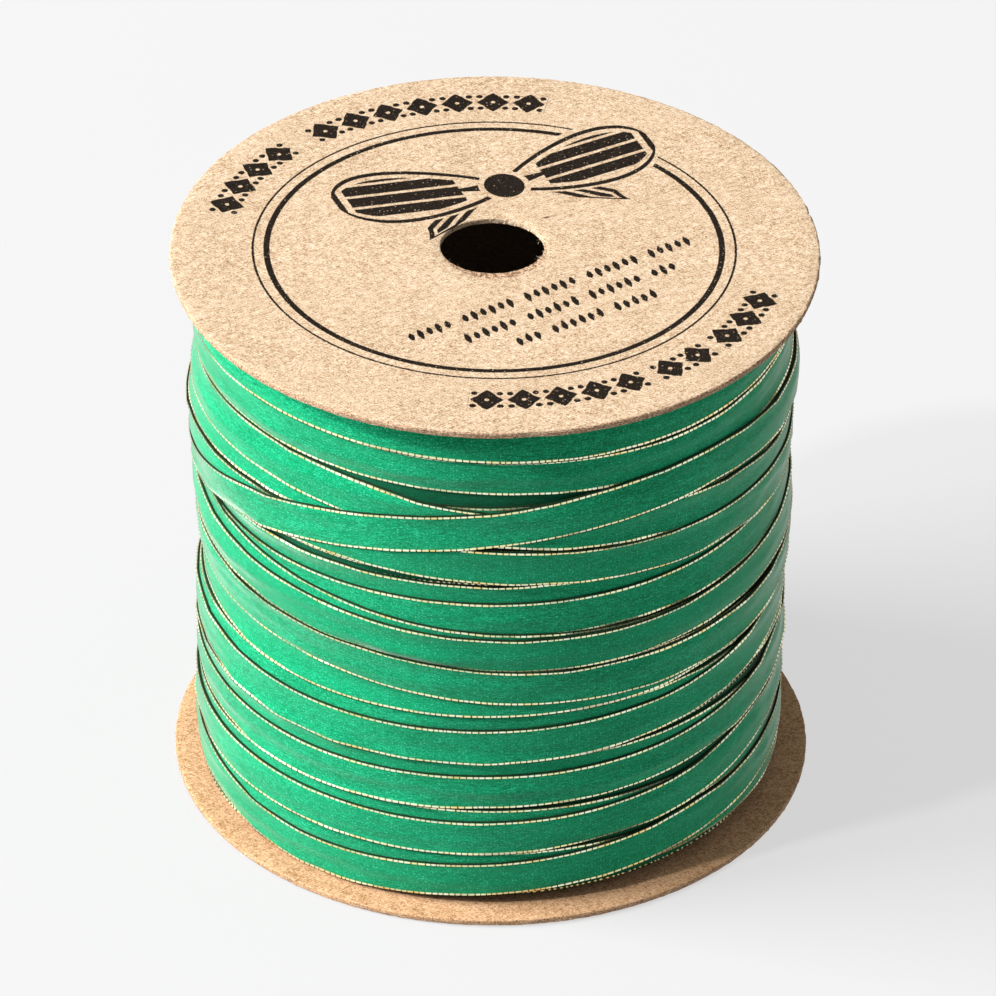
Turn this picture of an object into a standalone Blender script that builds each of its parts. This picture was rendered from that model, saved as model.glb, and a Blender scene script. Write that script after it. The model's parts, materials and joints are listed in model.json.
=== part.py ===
"""A ribbon spool: two kraft-board flanges on a paper core, full of cotton ribbon with a gold thread along each edge.

Frame: metres, +Z up along the spool's axis, the origin in the middle of the bottom flange's underside, -Y the front.

The ribbon is one strip, modelled from the inside out: the buried turns as one turned solid, then the last full layer
as a helix, then the turn that comes back down across it, then the turn that climbs over both, and its free end.
Places along the strip are counted in turns. Whole numbers are at the back of the spool, and each turn then passes
the left side (.25), the front (.5) and the right side (.75), so it winds anticlockwise as seen from above.
"""

import math

import bmesh
import bpy

MM = 0.001
GAP = 0.3 * MM  # left between pieces that touch

# The spool
SPOOL_HEIGHT = 94.0 * MM
FLANGE_RADIUS = 50.8 * MM
FLANGE_THICKNESS = 1.2 * MM
FLANGE_EDGE_ROUNDING = 0.2 * MM
HOLE_RADIUS = 7.95 * MM
CORE_RADIUS = 19.0 * MM
CORE_WALL = 1.6 * MM
GLUE_BEAD_LEG = 1.8 * MM
TAPE_THICKNESS = 0.2 * MM
TAPE_WIDTH = 12.0 * MM
TAPE_LENGTH = 25.0 * MM

# The ribbon
RIBBON_WIDTH = 6.6 * MM  # over both gold threads
BAND_THICKNESS = 0.3 * MM
THREAD_SIZE = 0.4 * MM
BURIED_TURNS_RADIUS = 45.2 * MM
SHOULDER = 1.0 * MM
LAYER_STEP = THREAD_SIZE + GAP
LAYER_TURNS = 12
FREE_END_LENGTH = 35.0 * MM

# The height of the ribbon's middle over its last two turns, down across the full layer and up again
CROSSING_TURNS = (
    (12.0, 88.0 * MM),
    (12.28, 75.0 * MM),
    (12.38, 77.4 * MM),
    (12.5, 74.4 * MM),
    (12.72, 68.0 * MM),
    (13.0, 61.0 * MM),
    (13.28, 60.0 * MM),
    (13.5, 74.4 * MM),
    (13.65, 78.0 * MM),
    (13.75, 77.0 * MM),
    (13.9, 75.0 * MM),
    (14.2, 73.0 * MM),
)
FREE_END_START = 13.9  # turns

# How finely round shapes are divided
FLANGE_SEGMENTS = 96
CORE_SEGMENTS = 48
STEPS_PER_TURN = 36

# Worked out from the above
INSIDE_BOTTOM = FLANGE_THICKNESS
INSIDE_TOP = SPOOL_HEIGHT - FLANGE_THICKNESS
CORE_BORE = CORE_RADIUS - CORE_WALL
BURIED_TURNS_BORE = CORE_RADIUS + GAP + TAPE_THICKNESS + GAP
BAND_WIDTH = RIBBON_WIDTH - 2 * (THREAD_SIZE + GAP)
THREAD_OFFSET = (RIBBON_WIDTH - THREAD_SIZE) / 2
LAYER_START = INSIDE_BOTTOM + GAP + RIBBON_WIDTH / 2
LAYER_END = INSIDE_TOP - GAP - RIBBON_WIDTH / 2
LAYER_RADIUS = BURIED_TURNS_RADIUS + GAP + THREAD_SIZE / 2
DOWN_TURN_RADIUS = LAYER_RADIUS + LAYER_STEP
UP_TURN_RADIUS = DOWN_TURN_RADIUS + LAYER_STEP
FREE_END_TURNS = FREE_END_LENGTH / (math.tau * UP_TURN_RADIUS)
END_GAP_TURNS = GAP / (math.tau * UP_TURN_RADIUS)


def clear_scene():
    for obj in list(bpy.data.objects):
        bpy.data.objects.remove(obj)


def material(name, colour, roughness, metallic=0.0):
    made = bpy.data.materials.new(name)
    made.use_nodes = True
    shader = made.node_tree.nodes["Principled BSDF"]
    shader.inputs["Base Color"].default_value = (*colour, 1.0)
    shader.inputs["Roughness"].default_value = roughness
    shader.inputs["Metallic"].default_value = metallic
    return made


def solid(name, bm, finish, place=(0, 0, 0)):
    """One closed solid as a named object, its faces turned outwards. Its origin is at place, in the spool's frame."""
    bmesh.ops.translate(bm, verts=bm.verts, vec=[-c for c in place])
    bmesh.ops.recalc_face_normals(bm, faces=bm.faces)
    mesh = bpy.data.meshes.new(name)
    bm.to_mesh(mesh)
    bm.free()
    mesh.materials.append(finish)
    mesh.shade_smooth()
    mesh.set_sharp_from_angle(angle=math.radians(30))
    obj = bpy.data.objects.new(name, mesh)
    obj.location = place
    bpy.context.scene.collection.objects.link(obj)
    return obj


def turned_ring(name, profile, segments, finish):
    """A ring turned about the spool's axis from a closed profile of (radius, height) points."""
    bm = bmesh.new()
    corners = [bm.verts.new((radius, 0, height)) for radius, height in profile]
    sides = [bm.edges.new((corners[i - 1], corners[i])) for i in range(len(corners))]
    bmesh.ops.spin(
        bm,
        geom=corners + sides,
        cent=(0, 0, 0),
        axis=(0, 0, 1),
        angle=math.tau,
        steps=segments,
        use_merge=True,
    )
    return solid(name, bm, finish)


def crossing_height(turn):
    """The ribbon's height over its last two turns: a smooth curve through CROSSING_TURNS."""
    points = CROSSING_TURNS
    last = len(points) - 2
    i = max(k for k in range(last + 1) if points[k][0] <= turn or k == 0)
    (t0, z0), (t1, z1) = points[i], points[i + 1]

    def slope(k):
        before, after = points[max(k - 1, 0)], points[min(k + 1, last + 1)]
        return (after[1] - before[1]) / (after[0] - before[0])

    span = t1 - t0
    s = (turn - t0) / span
    return (
        (2 * s**3 - 3 * s**2 + 1) * z0
        + (s**3 - 2 * s**2 + s) * span * slope(i)
        + (3 * s**2 - 2 * s**3) * z1
        + (s**3 - s**2) * span * slope(i + 1)
    )


def layer_height(turn):
    """The ribbon's height in the last full layer, which climbs evenly from flange to flange."""
    return LAYER_START + (LAYER_END - LAYER_START) * turn / LAYER_TURNS


def on_strip(height, radius, turn, across, out):
    """A point on the wound strip: across the strip from its middle, and out from its mid-radius."""
    step = 0.001
    along_circle = math.tau * radius
    rise = (height(turn + step) - height(turn - step)) / (2 * step)
    slant = math.atan2(rise, along_circle)
    angle = math.tau * (turn + 0.25) - across * math.sin(slant) / radius
    r = radius + out
    return (
        r * math.cos(angle),
        r * math.sin(angle),
        height(turn) + across * math.cos(slant),
    )


def wound_solid(name, section, height, radius, start, end, finish, place=(0, 0, 0)):
    """A closed solid swept along the wound strip. The section is a list of (across, out) corners."""
    steps = max(1, round((end - start) * STEPS_PER_TURN))
    bm = bmesh.new()
    rings = []
    for i in range(steps + 1):
        turn = start + (end - start) * i / steps
        rings.append(
            [bm.verts.new(on_strip(height, radius, turn, across, out)) for across, out in section]
        )
    corners = len(section)
    for here, there in zip(rings, rings[1:]):
        for k in range(corners):
            bm.faces.new((here[k - 1], here[k], there[k], there[k - 1]))
    bm.faces.new(rings[0])
    bm.faces.new(rings[-1])
    bmesh.ops.triangulate(bm, faces=bm.faces)
    return solid(name, bm, finish, place)


def band_section():
    w, t = BAND_WIDTH / 2, BAND_THICKNESS / 2
    return [(-w, -t), (w, -t), (w, t), (-w, t)]


def thread_section(offset):
    """A gold thread's three-sided section, its flat side towards the spool's axis."""
    half = THREAD_SIZE / 2
    return [(offset - half, -half), (offset + half, -half), (offset, half)]


def ribbon_stretch(name, height, radius, start, end, finishes, place=(0, 0, 0)):
    """A stretch of ribbon as its three strands: the cotton band and the gold thread along each edge."""
    cotton, gold = finishes
    for strand, section, finish in (
        ("band", band_section(), cotton),
        ("upper_thread", thread_section(THREAD_OFFSET), gold),
        ("lower_thread", thread_section(-THREAD_OFFSET), gold),
    ):
        wound_solid(f"{name}_{strand}", section, height, radius, start, end, finish, place)


def flange(name, bottom, finish):
    """A die-cut board disc with the arbor hole, its outer corners a little rounded."""
    top, edge = bottom + FLANGE_THICKNESS, FLANGE_EDGE_ROUNDING
    profile = [
        (HOLE_RADIUS, bottom),
        (FLANGE_RADIUS - edge, bottom),
        (FLANGE_RADIUS, bottom + edge),
        (FLANGE_RADIUS, top - edge),
        (FLANGE_RADIUS - edge, top),
        (HOLE_RADIUS, top),
    ]
    turned_ring(name, profile, FLANGE_SEGMENTS, finish)


def core_tube(finish):
    bottom, top = INSIDE_BOTTOM + GAP, INSIDE_TOP - GAP
    profile = [(CORE_BORE, bottom), (CORE_RADIUS, bottom), (CORE_RADIUS, top), (CORE_BORE, top)]
    turned_ring("core_tube", profile, CORE_SEGMENTS, finish)


def glue_bead(name, face, into, finish):
    """The fillet of glue in the corner between the core's bore and a flange's inner face. It runs up or down: into."""
    wall, start = CORE_BORE - GAP, face + into * GAP
    profile = [(wall, start), (wall, start + into * GLUE_BEAD_LEG), (wall - GLUE_BEAD_LEG, start)]
    turned_ring(name, profile, CORE_SEGMENTS, finish)


def starter_tape(finish):
    """The patch of tape that holds the ribbon's inner end on the core, at half height."""
    radius = CORE_RADIUS + GAP + TAPE_THICKNESS / 2
    w, t = TAPE_WIDTH / 2, TAPE_THICKNESS / 2
    section = [(-w, -t), (w, -t), (w, t), (-w, t)]
    half_turns = TAPE_LENGTH / (math.tau * radius) / 2
    wound_solid(
        "starter_tape",
        section,
        lambda turn: SPOOL_HEIGHT / 2,
        radius,
        0.5 - half_turns,
        0.5 + half_turns,
        finish,
    )


def buried_turns(finish):
    """All the ribbon under the last full layer, as one turned solid with its shoulders eased."""
    bottom, top = INSIDE_BOTTOM + GAP, INSIDE_TOP - GAP
    bore, outer = BURIED_TURNS_BORE, BURIED_TURNS_RADIUS
    profile = [
        (bore, bottom),
        (outer - SHOULDER, bottom),
        (outer, bottom + SHOULDER),
        (outer, top - SHOULDER),
        (outer - SHOULDER, top),
        (bore, top),
    ]
    turned_ring("ribbon_buried_turns", profile, 2 * STEPS_PER_TURN, finish)


def free_end_hinge():
    """Where the free end leaves the spool: on the strip's outer face, in the middle of the gap before it."""
    angle = math.tau * (FREE_END_START + END_GAP_TURNS / 2 + 0.25)
    radius = UP_TURN_RADIUS + THREAD_SIZE / 2
    return (radius * math.cos(angle), radius * math.sin(angle), crossing_height(FREE_END_START))


def build():
    clear_scene()
    kraft = material("kraft_board", (0.63, 0.45, 0.28), 0.85)
    tube_paper = material("core_paper", (0.42, 0.30, 0.19), 0.9)
    glue = material("dried_glue", (0.80, 0.76, 0.66), 0.4)
    tape = material("paper_tape", (0.72, 0.60, 0.43), 0.7)
    cotton = material("green_cotton", (0.01, 0.30, 0.15), 0.5)
    gold = material("gold_thread", (0.83, 0.62, 0.22), 0.3, metallic=1.0)

    flange("bottom_flange", 0.0, kraft)
    flange("top_flange", INSIDE_TOP, kraft)
    core_tube(tube_paper)
    glue_bead("bottom_glue_bead", INSIDE_BOTTOM, 1, glue)
    glue_bead("top_glue_bead", INSIDE_TOP, -1, glue)
    starter_tape(tape)
    buried_turns(cotton)

    strands = (cotton, gold)
    start, end = LAYER_TURNS, LAYER_TURNS + 1
    ribbon_stretch("ribbon_full_layer", layer_height, LAYER_RADIUS, 0, start, strands)
    ribbon_stretch("ribbon_down_turn", crossing_height, DOWN_TURN_RADIUS, start, end, strands)
    ribbon_stretch("ribbon_up_turn", crossing_height, UP_TURN_RADIUS, end, FREE_END_START, strands)
    free_start = FREE_END_START + END_GAP_TURNS
    ribbon_stretch(
        "ribbon_free_end",
        crossing_height,
        UP_TURN_RADIUS,
        free_start,
        free_start + FREE_END_TURNS,
        strands,
        place=free_end_hinge(),
    )


build()
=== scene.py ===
import json
import math

import bpy
import numpy as np
from mathutils import Matrix, Vector


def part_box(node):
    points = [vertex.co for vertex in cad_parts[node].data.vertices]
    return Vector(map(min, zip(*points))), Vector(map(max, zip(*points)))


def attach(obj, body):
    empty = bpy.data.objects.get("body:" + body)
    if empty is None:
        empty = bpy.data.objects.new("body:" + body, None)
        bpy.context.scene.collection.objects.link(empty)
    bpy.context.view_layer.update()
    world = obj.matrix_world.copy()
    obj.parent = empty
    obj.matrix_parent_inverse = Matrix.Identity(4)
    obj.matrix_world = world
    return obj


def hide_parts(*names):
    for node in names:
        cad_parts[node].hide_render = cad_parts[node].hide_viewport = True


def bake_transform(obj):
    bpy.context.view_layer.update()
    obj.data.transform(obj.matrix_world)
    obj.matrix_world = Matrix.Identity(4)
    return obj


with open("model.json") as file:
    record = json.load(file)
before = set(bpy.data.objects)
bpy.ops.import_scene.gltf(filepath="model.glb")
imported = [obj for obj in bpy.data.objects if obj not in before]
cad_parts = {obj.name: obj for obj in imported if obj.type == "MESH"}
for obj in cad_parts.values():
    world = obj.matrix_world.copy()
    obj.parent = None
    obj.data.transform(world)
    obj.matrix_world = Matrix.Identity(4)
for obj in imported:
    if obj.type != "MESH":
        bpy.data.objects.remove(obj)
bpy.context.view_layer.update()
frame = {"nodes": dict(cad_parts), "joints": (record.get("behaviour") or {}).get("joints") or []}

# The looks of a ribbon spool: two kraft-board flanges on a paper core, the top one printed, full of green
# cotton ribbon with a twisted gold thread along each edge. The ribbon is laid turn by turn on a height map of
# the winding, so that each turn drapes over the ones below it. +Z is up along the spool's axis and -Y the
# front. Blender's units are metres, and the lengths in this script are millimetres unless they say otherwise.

MM = 0.001
SEED = 11


# ---------------------------------------------------------------- sizes read from the frame, in millimetres


def cad_radii(node):
    """The smallest and the largest distance of a CAD node's corners from the spool's axis."""
    distances = [math.hypot(v.co.x, v.co.y) / MM for v in frame["nodes"][node].data.vertices]
    return min(distances), max(distances)


HOLE_RADIUS, FLANGE_RADIUS = cad_radii("top_flange")
TOP_TILT = 0.009  # how much the top board rises per millimetre towards the back
SPOOL_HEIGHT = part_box("top_flange")[1].z / MM
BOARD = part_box("bottom_flange")[1].z / MM
INSIDE_TOP = SPOOL_HEIGHT - BOARD
END_JOINT = next(j for j in frame["joints"] if j["name"] == "ribbon_end_lift")
END_HINGE = Vector(END_JOINT["pos_m"])


def new_object(name, data):
    obj = bpy.data.objects.new(name, data)
    bpy.context.scene.collection.objects.link(obj)
    return obj


# ---------------------------------------------------------------- materials


class Field:
    """A number that varies over a surface. Arithmetic on fields adds Math nodes to their material."""

    def __init__(self, tree, socket):
        self.tree = tree
        self.socket = socket

    def math(self, operation, *others):
        node = self.tree.nodes.new("ShaderNodeMath")
        node.operation = operation
        for slot, value in zip(node.inputs, (self, *others)):
            if isinstance(value, Field):
                self.tree.links.new(value.socket, slot)
            else:
                slot.default_value = value
        return Field(self.tree, node.outputs[0])

    def __add__(self, other):
        return self.math("ADD", other)

    def __sub__(self, other):
        return self.math("SUBTRACT", other)

    def __mul__(self, other):
        return self.math("MULTIPLY", other)

    def __truediv__(self, other):
        return self.math("DIVIDE", other)

    __radd__ = __add__
    __rmul__ = __mul__

    def __rsub__(self, other):
        return self.math("MULTIPLY", -1.0) + other

    def __abs__(self):
        return self.math("ABSOLUTE")

    def sin(self):
        return self.math("SINE")

    def sqrt(self):
        return self.math("SQRT")

    def at_most(self, other):
        return self.math("MINIMUM", other)

    def at_least(self, other):
        return self.math("MAXIMUM", other)

    def repeated(self, period):
        """The distance, signed, from the middle of the nearest period."""
        return self.math("FLOORED_MODULO", period) - period / 2

    def step(self, low, high):
        """0 up to low, 1 from high, and smooth between them."""
        node = self.tree.nodes.new("ShaderNodeMapRange")
        node.interpolation_type = "SMOOTHSTEP"
        node.inputs["From Min"].default_value = low
        node.inputs["From Max"].default_value = high
        self.tree.links.new(self.socket, node.inputs["Value"])
        return Field(self.tree, node.outputs["Result"])


class Material:
    """A node material with one Principled shader, and short ways to add what drives it."""

    def __init__(self, name, **constants):
        self.data = bpy.data.materials.new(name)
        self.data.use_nodes = True
        self.tree = self.data.node_tree
        self.shader = self.tree.nodes["Principled BSDF"]
        for socket, value in constants.items():
            self.shader.inputs[socket.replace("_", " ")].default_value = value

    def node(self, kind, **settings):
        node = self.tree.nodes.new("ShaderNode" + kind)
        for key, value in settings.items():
            setattr(node, key, value)
        return node

    def link(self, source, target):
        self.tree.links.new(getattr(source, "socket", source), target)

    def place(self, attribute=None):
        """(x, y, z) in millimetres: where the point is on the object, or what a mesh attribute says."""
        if attribute:
            source = self.node("Attribute", attribute_name=attribute).outputs["Vector"]
            scale = 1.0
        else:
            source = self.node("TexCoord").outputs["Object"]
            scale = 1 / MM
        split = self.node("SeparateXYZ")
        self.link(source, split.inputs[0])
        return [Field(self.tree, out) * scale for out in split.outputs]

    def vector(self, x, y, z):
        join = self.node("CombineXYZ")
        for value, slot in zip((x, y, z), join.inputs):
            if isinstance(value, Field):
                self.link(value, slot)
            else:
                slot.default_value = value
        return join.outputs[0]

    def noise(self, place, size, detail=2.0, roughness=0.55):
        """Noise from 0 to 1 about 0.5. size is its grain along x, y and z, in millimetres."""
        node = self.node("TexNoise")
        node.inputs["Scale"].default_value = 1.0
        node.inputs["Detail"].default_value = detail
        node.inputs["Roughness"].default_value = roughness
        x, y, z = (p / s for p, s in zip(place, size))
        self.link(self.vector(x, y, z), node.inputs["Vector"])
        return Field(self.tree, node.outputs["Fac"])

    def specks(self, place, size, edge, chosen):
        """1 in the middles of some scattered cells and 0 round them. edge is the distances between which each
        fades out, and chosen is the random numbers between which the cells begin to take part."""
        node = self.node("TexVoronoi")
        node.inputs["Scale"].default_value = 1.0
        x, y, z = (p / s for p, s in zip(place, size))
        self.link(self.vector(x, y, z), node.inputs["Vector"])
        split = self.node("SeparateColor")
        self.link(node.outputs["Color"], split.inputs[0])
        distance, chance = Field(self.tree, node.outputs["Distance"]), Field(self.tree, split.outputs[0])
        return (1.0 - distance.step(*edge)) * chance.step(*chosen)

    def ramp(self, field, *stops):
        """A colour for each value of a field, from (value, colour) stops."""
        node = self.node("ValToRGB")
        elements = node.color_ramp.elements
        while len(elements) < len(stops):
            elements.new(0.5)
        for element, (at, colour) in zip(elements, stops):
            element.position = at
            element.color = (*colour, 1.0)
        self.link(field, node.inputs["Fac"])
        return node.outputs["Color"]

    def mix(self, amount, below, above):
        """The colour above laid over the one below, by amount from 0 to 1."""
        node = self.node("Mix", data_type="RGBA")
        self.link(amount, node.inputs["Factor"])
        for value, slot in ((below, node.inputs[6]), (above, node.inputs[7])):
            if isinstance(value, tuple):
                slot.default_value = (*value, 1.0)
            else:
                self.link(value, slot)
        return node.outputs[2]

    def set(self, **fields):
        """Drives the shader's sockets, by name, with fields or colours."""
        for socket, source in fields.items():
            self.link(source, self.shader.inputs[socket.replace("_", " ")])

    def bump(self, height, depth, strength=1.0):
        """Raises the surface by the field's height, where 1 is depth millimetres."""
        node = self.node("Bump")
        node.inputs["Strength"].default_value = strength
        node.inputs["Distance"].default_value = depth * MM
        self.link(height, node.inputs["Height"])
        self.link(node.outputs["Normal"], self.shader.inputs["Normal"])


# The printed design on the top flange, from the flange's centre
INK_SOFTNESS = 0.06  # half the width over which an edge of the print fades
INK_SHIFT = 0.5  # how far the whole print is off centre, towards the back
INK_SQUEEZE = 1.035  # and how much wider than deep it is
INK_WIDE_RING = (35.6, 0.98)  # radius and width
INK_THIN_RING = (37.75, 0.38)
INK_BORDER_RADIUS = 43.8
INK_FLOWER_DEGREES = 7.5  # from one flower to the next
# The rows of flowers: the degrees where each begins, and how many flowers it has
INK_FLOWER_ROWS = ((79.3, 7), (137.6, 4), (265.0, 5), (304.6, 2), (321.6, 3))
INK_PETALS = ((5.6, 3.5), (5.2, 3.1))  # length and width, across the border and along it
INK_EYE_RADIUS = 0.34
INK_SEED_PLACE = (2.05, 1.75)  # from a flower's middle, along the border and across it
INK_SEED_RADIUS = 0.52
INK_BOW_CENTRE = (1.5, 18.6)
INK_BOW_TILT = 22.0
INK_LOOP = (27.0, 9.0)  # length and half width
INK_LOOP_RISE = 0.17  # per millimetre out from the knot
INK_KNOT_RADIUS = 3.0
INK_STRIPE_PERIOD = 3.4
INK_STRIPE_GAP = 0.34  # half the width of the bare line between two stripes
INK_CREASE_LENGTH = 10.5
INK_TAIL_DROP = 11.0
INK_TAIL_START = 3.4  # below the knot's middle
INK_BOW_MARGIN = 1.1  # kept clear of the rings
INK_RULE_TILT = 34.0
INK_LEAF = (2.5, 1.05)  # length and width
INK_LEAF_PERIOD = 1.66
INK_LEAF_GROUP = 7  # one leaf in so many is left out
# The rules of leaves: the middle's x and y, the leaves each way from it, and where the first gap is
INK_RULES = ((8.7, -11.8, 16, 0), (11.9, -15.7, 12, 2), (14.4, -20.1, 8, 1))


def ink(x, y):
    """How much ink there is at (x, y): a double ring, rows of small flowers, a bow and rules of small leaves.
    The shapes inside are signed distances, negative where there is ink."""
    y = (y - INK_SHIFT) * INK_SQUEEZE
    far = (x * x + y * y).sqrt()
    angle = y.math("ARCTAN2", x)
    degrees = (angle * math.degrees(1)).math("FLOORED_MODULO", 360.0)

    def inside(distance):
        """1 where the signed distance is negative, with the edge's softness of a print."""
        return 1.0 - distance.step(-INK_SOFTNESS, INK_SOFTNESS)

    def ring(radius, width):
        return abs(far - radius) - width / 2

    def leaf(u, v, length, width):
        """A leaf along u with pointed ends."""
        shape = (1.0 - abs(u) / (length / 2)).at_least(0.0)
        return abs(v) - shape * (2.0 - shape) * (width / 2) + (abs(u) - length / 2).at_least(0.0)

    def border():
        """The rows of flowers, each with an eye in its middle and a seed at each of its corners."""
        rows = []
        soft = 0.1  # degrees
        for start, count in INK_FLOWER_ROWS:
            end = start + count * INK_FLOWER_DEGREES
            begun = degrees.step(start - soft, start + soft)
            rows.append(begun * (1.0 - degrees.step(end - soft, end + soft)))
        into_row = degrees - sum(row * start for row, (start, _) in zip(rows, INK_FLOWER_ROWS))
        millimetres = math.radians(1) * INK_BORDER_RADIUS
        along = (into_row * millimetres).repeated(INK_FLOWER_DEGREES * millimetres)
        across = far - INK_BORDER_RADIUS
        flower = leaf(across, along, *INK_PETALS[0]).at_most(leaf(along, across, *INK_PETALS[1]))
        eye = INK_EYE_RADIUS - (along * along + across * across).sqrt()
        seed_along = abs(along) - INK_SEED_PLACE[0]
        seed_across = abs(across) - INK_SEED_PLACE[1]
        seeds = (seed_along * seed_along + seed_across * seed_across).sqrt() - INK_SEED_RADIUS
        return inside(flower.at_least(eye).at_most(seeds)) * sum(rows)

    def turned(cx, cy, degrees_round):
        """(x, y) from a middle, along axes turned round by so many degrees."""
        c, s = math.cos(math.radians(degrees_round)), math.sin(math.radians(degrees_round))
        dx, dy = x - cx, y - cy
        return dx * c + dy * s, dy * c - dx * s

    def bow():
        """(the bow's ink, the area that it keeps clear of the rings)"""
        u, v = turned(*INK_BOW_CENTRE, INK_BOW_TILT)
        side = abs(u)
        length, half = INK_LOOP
        along = (side / length).at_most(1.0)
        height = v - side * INK_LOOP_RISE
        # Each loop is a pointed oval that is fullest beyond its middle
        outline = (along * (1.0 - along)).sqrt() * (0.6 + 0.75 * along) * 1.7 * half
        body = (abs(height) - outline).at_least(side - length + 0.2)
        # It has a drawn rim, dark stripes inside that, and a dark wedge next to the knot
        rim = abs(body + 0.5) - 0.5
        stripe = INK_STRIPE_GAP - abs((height + side * 0.02).repeated(INK_STRIPE_PERIOD))
        fill = (body + 2.1).at_least(stripe).at_least(7.0 - side)
        crease = (abs(height) - (INK_CREASE_LENGTH - side) * 0.14).at_least(side - INK_CREASE_LENGTH)
        knot = ((u * u) * 0.9 + v * v * 0.7).sqrt() - INK_KNOT_RADIUS
        loops = rim.at_most(fill).at_most(crease).at_least(0.9 - knot)
        # The tails swing outwards as they drop
        drop = 0.0 - v
        swing = side - 1.2 - drop * 1.55 - (drop * 0.42).sin() * 1.2
        tail = (abs(swing) * 0.62 - 1.7 - drop * 0.04).at_least(drop - INK_TAIL_DROP + abs(swing) * 1.1)
        tail = tail.at_least(INK_TAIL_START - drop)
        tail_lines = (abs(tail + 0.45) - 0.45).at_most((tail + 1.5).at_least(0.0 - tail - 5.0))
        clear = body.at_most(tail).at_most(knot) - INK_BOW_MARGIN
        return inside(loops.at_most(knot).at_most(tail_lines.at_least(0.5 - body))), inside(clear)

    def rule(cx, cy, leaves, first_gap):
        """A row of slanting leaves in groups, with one leaf left out between them."""
        u, v = turned(cx, cy, INK_RULE_TILT)
        taller = 1.0 + (u * 1.9 + cy).sin() * 0.22
        slanting = u.repeated(INK_LEAF_PERIOD) - v * 0.22
        row = leaf(v * taller, slanting, *INK_LEAF)
        into_group = (u + first_gap * INK_LEAF_PERIOD).repeated(INK_LEAF_PERIOD * INK_LEAF_GROUP)
        gap = INK_LEAF_PERIOD / 2 - abs(into_group)
        return inside(row.at_least(gap).at_least(abs(u) - leaves * INK_LEAF_PERIOD))

    bow_ink, bow_clear = bow()
    rings = inside(ring(*INK_WIDE_RING).at_most(ring(*INK_THIN_RING))) * (1.0 - bow_clear)
    design = rings.at_least(border()).at_least(bow_ink)
    for line in INK_RULES:
        design = design.at_least(rule(*line))
    return design


# The board's tones from its dark specks to its pale fibres, and those of its cut faces: (value, colour)
KRAFT_TONES = (
    (0.38, (0.170, 0.098, 0.050)),
    (0.45, (0.315, 0.210, 0.124)),
    (0.50, (0.405, 0.292, 0.188)),
    (0.55, (0.465, 0.350, 0.240)),
    (0.62, (0.560, 0.460, 0.345)),
)
CUT_TONES = (
    (0.38, (0.060, 0.028, 0.016)),
    (0.47, (0.200, 0.115, 0.068)),
    (0.56, (0.360, 0.245, 0.155)),
    (0.68, (0.560, 0.440, 0.320)),
)
PRINTED_WARMTH = (0.91, 0.93, 0.95)
# The plain bottom board's tint is browner and darker than the printed board's: partly its own colour, partly
# painted shade of the winding above it
PLAIN_WARMTH_AND_SHADE = (0.93, 0.77, 0.64)
FLECK_BROWN = (0.060, 0.032, 0.018)
RUSSET = (0.235, 0.130, 0.062)
PALE_FIBRE = (0.66, 0.58, 0.47)
SPLINTER_BROWN = (0.05, 0.028, 0.015)
SPLINTER_PLACE = (8.2, 9.4)


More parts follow.
